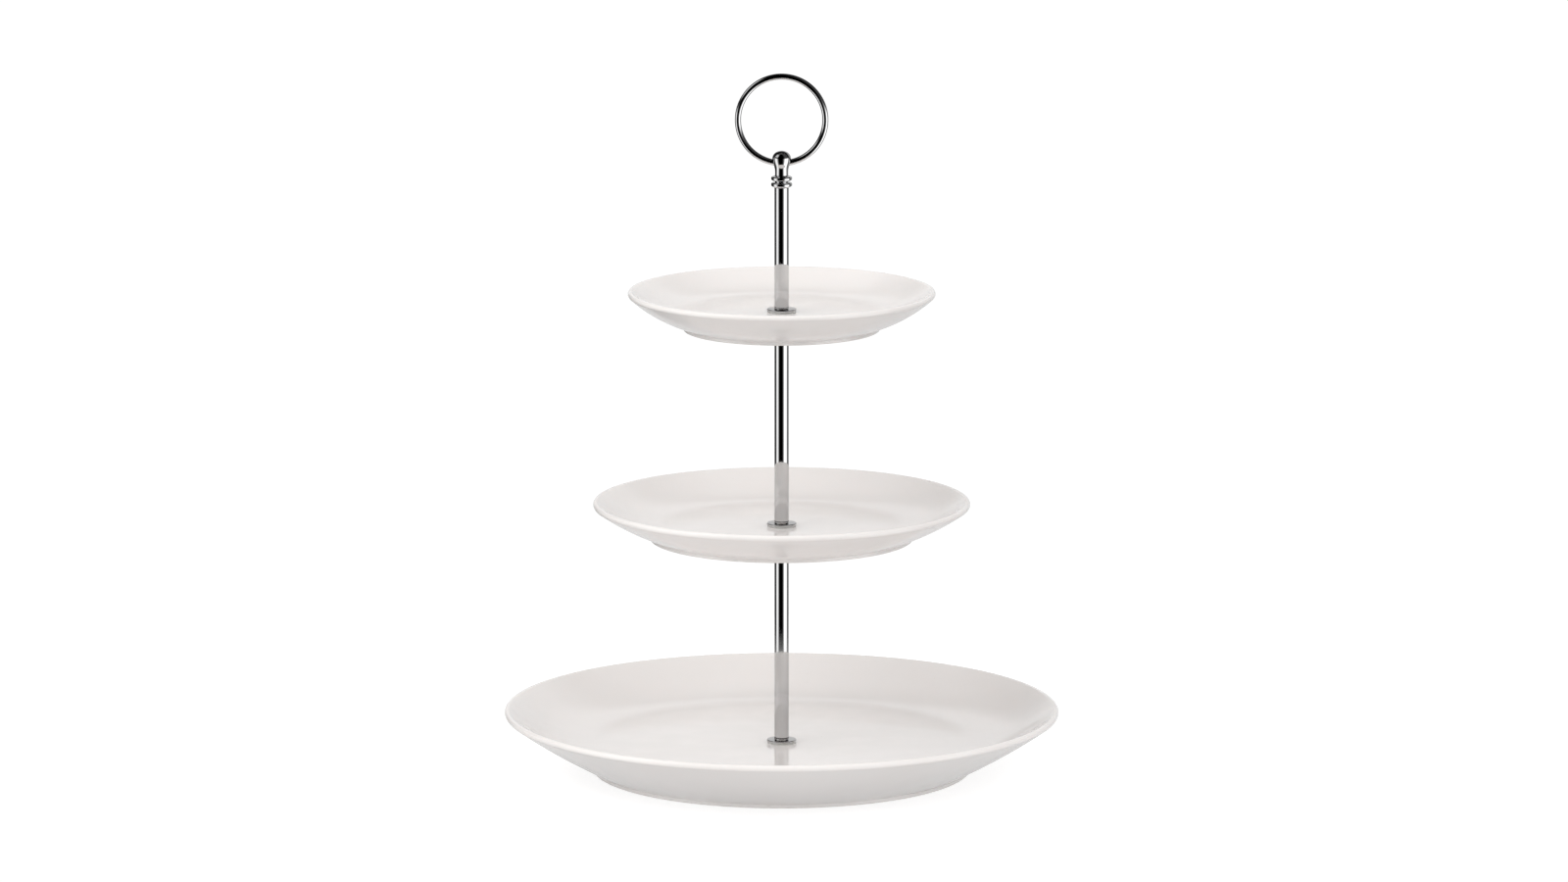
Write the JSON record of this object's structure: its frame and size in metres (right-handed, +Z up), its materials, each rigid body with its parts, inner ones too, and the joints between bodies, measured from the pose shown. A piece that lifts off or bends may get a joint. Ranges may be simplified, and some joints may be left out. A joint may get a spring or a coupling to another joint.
{
  "type": "tiered cake stand",
  "caption": "Tiered cake stand: round glazed porcelain plates of falling size clamped on a screwed metal centre rod, with a knob and tilting ring to carry it by.",
  "frame": {"origin": "on the table, under the centre of the rod", "axes": "+Z up along the rod; the carrying ring at rest stands in the XZ plane and faces -Y"},
  "size_m": [0.27, 0.27, 0.342],
  "materials": {
    "porcelain": "warm white glossy glaze",
    "chrome": "polished",
    "zinc_steel": "bright zinc plate",
    "clear_gasket": "soft, milky clear"
  },
  "bodies": {
    "base": {"plate_bottom": "porcelain", "gasket_under_bottom": "clear_gasket", "washer_under_bottom": "zinc_steel", "base_screw": "zinc_steel"},
    "lower_seat": {"gasket_over_bottom": "clear_gasket"},
    "lower_section": {"flange_bottom": "chrome", "rod_lower": "chrome", "washer_under_middle": "zinc_steel", "gasket_under_middle": "clear_gasket", "plate_middle": "porcelain"},
    "middle_seat": {"gasket_over_middle": "clear_gasket"},
    "middle_section": {"flange_middle": "chrome", "rod_middle": "chrome", "stud_middle": "zinc_steel", "washer_under_top": "zinc_steel", "gasket_under_top": "clear_gasket", "plate_top": "porcelain"},
    "upper_seat": {"gasket_over_top": "clear_gasket"},
    "upper_section": {"flange_top": "chrome", "rod_upper": "chrome", "stud_upper": "zinc_steel", "stud_knob": "zinc_steel", "knob": "chrome"},
    "handle": {"carrying_ring": "chrome"}
  },
  "joints": [
    {"name": "lower_section_unscrew", "type": "hinge", "parent": "base", "child": "lower_seat", "pos_m": [0, 0, 0.0131], "axis": [0, 0, 1], "range_deg": [0, 4320]},
    {"name": "lower_section_lift", "type": "slide", "parent": "lower_seat", "child": "lower_section", "axis": [0, 0, 1], "range_m": [0, 0.00841]},
    {"name": "middle_section_unscrew", "type": "hinge", "parent": "lower_section", "child": "middle_seat", "pos_m": [0, 0, 0.1205], "axis": [0, 0, 1], "range_deg": [0, 4320]},
    {"name": "middle_section_lift", "type": "slide", "parent": "middle_seat", "child": "middle_section", "axis": [0, 0, 1], "range_m": [0, 0.00841]},
    {"name": "upper_section_unscrew", "type": "hinge", "parent": "middle_section", "child": "upper_seat", "pos_m": [0, 0, 0.2259], "axis": [0, 0, 1], "range_deg": [0, 4320]},
    {"name": "upper_section_lift", "type": "slide", "parent": "upper_seat", "child": "upper_section", "axis": [0, 0, 1], "range_m": [0, 0.00841]},
    {"name": "ring_tilt", "type": "hinge", "parent": "upper_section", "child": "handle", "pos_m": [0, 0, 0.2985], "axis": [1, 0, 0], "range_deg": [-170, 170]}
  ],
  "couplings": [
    {"joint": "lower_section_lift", "follows": "lower_section_unscrew", "m_per_rad": 0.00011141},
    {"joint": "middle_section_lift", "follows": "middle_section_unscrew", "m_per_rad": 0.00011141},
    {"joint": "upper_section_lift", "follows": "upper_section_unscrew", "m_per_rad": 0.00011141}
  ]
}
